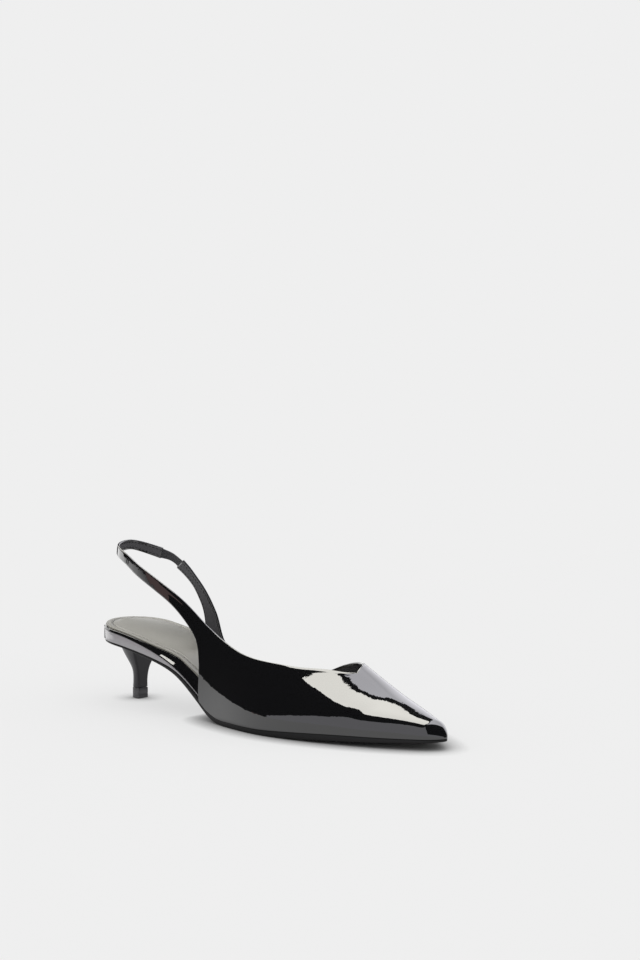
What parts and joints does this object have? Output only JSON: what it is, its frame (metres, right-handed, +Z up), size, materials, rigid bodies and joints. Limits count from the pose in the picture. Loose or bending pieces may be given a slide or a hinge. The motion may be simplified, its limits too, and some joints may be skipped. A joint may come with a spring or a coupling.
{
  "type": "kitten heel shoe",
  "caption": "Pointed slingback shoe with a low waisted heel, a hollow upper open at collar and throat, a heel strap with an elastic insert, and a layered arched sole.",
  "frame": {"origin": "on the floor, under the middle of the shoe's length and width", "axes": "+X to the toe, +Y to the inner side of the foot, +Z up"},
  "size_m": [0.254, 0.0723, 0.0961],
  "materials": {
    "patent_leather": "black patent, mirror gloss",
    "sock_leather": "pale warm grey, satin",
    "sole_rubber": "black, satin",
    "lift_rubber": "black, matte",
    "elastic_webbing": "black woven elastic"
  },
  "bodies": {
    "root": {"upper": "patent_leather", "elastic": "elastic_webbing", "insole": "sock_leather", "footbed": "patent_leather", "seat_wedge": "patent_leather", "outsole": "sole_rubber", "heel": "patent_leather", "top_lift": "lift_rubber"}
  },
  "joints": []
}
